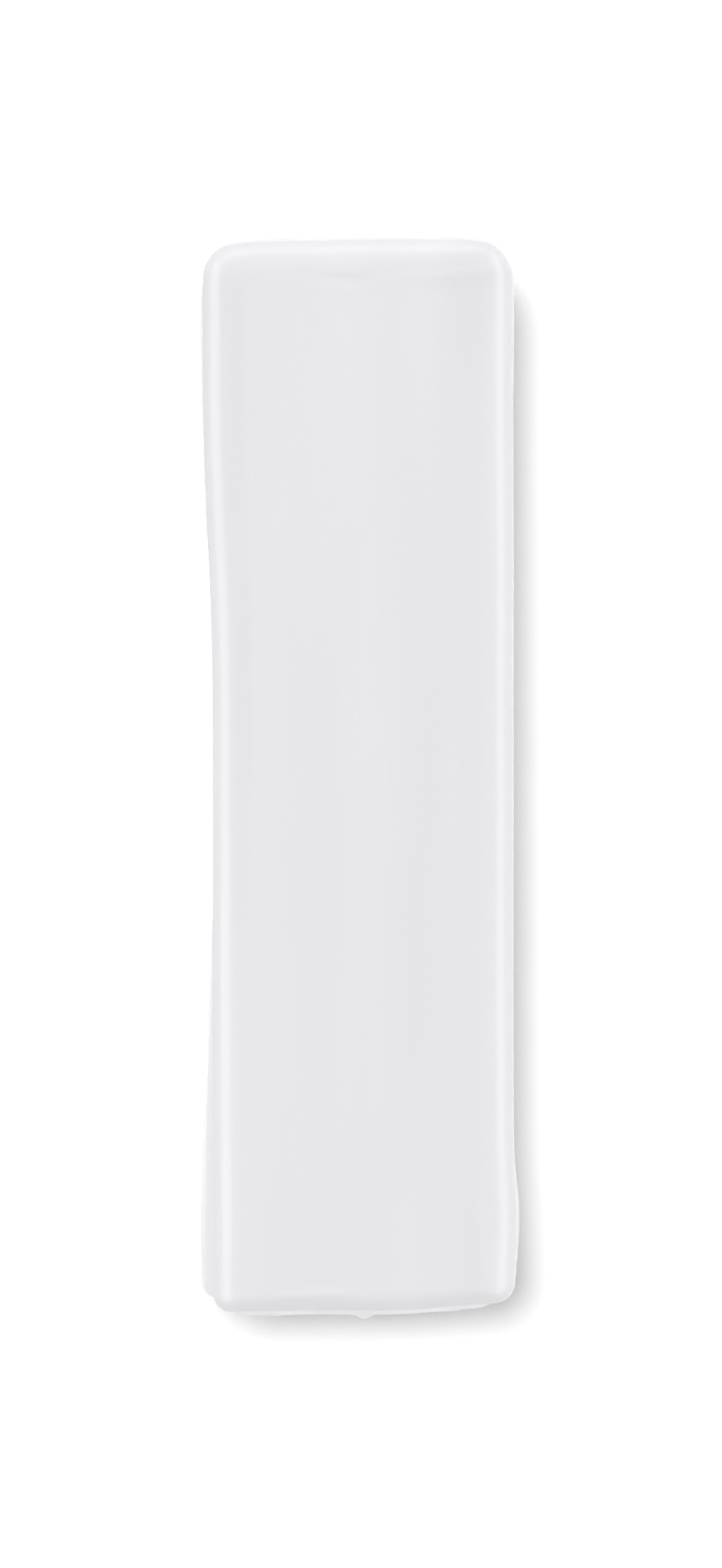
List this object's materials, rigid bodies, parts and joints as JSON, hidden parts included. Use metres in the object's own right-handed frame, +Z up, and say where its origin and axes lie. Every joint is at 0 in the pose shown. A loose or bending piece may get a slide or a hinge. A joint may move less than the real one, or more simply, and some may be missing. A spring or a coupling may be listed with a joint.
{
  "type": "gymnastics chalk block",
  "caption": "Long pressed bar of gymnastics chalk in a glossy white film wrapper, with a side seam flap and folded ends that open.",
  "frame": {"origin": "middle of the underside, where the wrapped bar rests", "axes": "+Y along the bar towards the back end, +X to the right, away from the seam flap, +Z up"},
  "size_m": [0.0334, 0.1192, 0.031],
  "materials": {
    "film": "glossy white film",
    "chalk": "matt pressed powder",
    "adhesive": "dry adhesive"
  },
  "bodies": {
    "root": {"chalk_bar": "chalk", "wrap_base": "film"},
    "lid": {"wrap_top": "film"},
    "lap": {"lap_flap": "film", "seam_seal": "adhesive"},
    "front_right_tuck": {"front_right_tuck": "film"},
    "front_left_tuck": {"front_left_tuck": "film"},
    "front_bottom_flap": {"front_bottom_flap": "film"},
    "front_top_flap": {"front_top_flap": "film", "front_end_seal": "adhesive"},
    "back_right_tuck": {"back_right_tuck": "film"},
    "back_left_tuck": {"back_left_tuck": "film"},
    "back_bottom_flap": {"back_bottom_flap": "film"},
    "back_top_flap": {"back_top_flap": "film", "back_end_seal": "adhesive"}
  },
  "joints": [
    {"name": "lap_fold", "type": "hinge", "parent": "root", "child": "lap", "pos_m": [-0.01673, 0, 0.0034], "axis": [0, -1, 0], "range_deg": [0, 92]},
    {"name": "lid_fold", "type": "hinge", "parent": "root", "child": "lid", "pos_m": [0.01333, 0, 0.03102], "axis": [0, 1, 0], "range_deg": [0, 110.4]},
    {"name": "front_top_fold", "type": "hinge", "parent": "lid", "child": "front_top_flap", "pos_m": [0, -0.05937, 0.03102], "axis": [-1, 0, 0], "range_deg": [0, 165]},
    {"name": "front_bottom_fold", "type": "hinge", "parent": "root", "child": "front_bottom_flap", "pos_m": [0, -0.05917, 0], "axis": [1, 0, 0], "range_deg": [0, 82.5]},
    {"name": "front_right_tuck_fold", "type": "hinge", "parent": "root", "child": "front_right_tuck", "pos_m": [0.01673, -0.05861, 0.01551], "axis": [0, 0, 1], "range_deg": [0, 82.5]},
    {"name": "front_left_tuck_fold", "type": "hinge", "parent": "lap", "child": "front_left_tuck", "pos_m": [-0.01673, -0.05861, 0.01551], "axis": [0, 0, -1], "range_deg": [0, 82.5]},
    {"name": "back_top_fold", "type": "hinge", "parent": "lid", "child": "back_top_flap", "pos_m": [0, 0.05937, 0.03102], "axis": [1, 0, 0], "range_deg": [0, 165]},
    {"name": "back_bottom_fold", "type": "hinge", "parent": "root", "child": "back_bottom_flap", "pos_m": [0, 0.05917, 0], "axis": [-1, 0, 0], "range_deg": [0, 82.5]},
    {"name": "back_right_tuck_fold", "type": "hinge", "parent": "root", "child": "back_right_tuck", "pos_m": [0.01673, 0.05861, 0.01551], "axis": [0, 0, -1], "range_deg": [0, 82.5]},
    {"name": "back_left_tuck_fold", "type": "hinge", "parent": "lap", "child": "back_left_tuck", "pos_m": [-0.01673, 0.05861, 0.01551], "axis": [0, 0, 1], "range_deg": [0, 82.5]}
  ],
  "couplings": [
    {"joint": "lid_fold", "follows": "lap_fold", "ratio": 1.2},
    {"joint": "front_bottom_fold", "follows": "front_top_fold", "ratio": 0.5},
    {"joint": "front_right_tuck_fold", "follows": "front_top_fold", "ratio": 0.5},
    {"joint": "front_left_tuck_fold", "follows": "front_top_fold", "ratio": 0.5},
    {"joint": "back_bottom_fold", "follows": "back_top_fold", "ratio": 0.5},
    {"joint": "back_right_tuck_fold", "follows": "back_top_fold", "ratio": 0.5},
    {"joint": "back_left_tuck_fold", "follows": "back_top_fold", "ratio": 0.5}
  ]
}
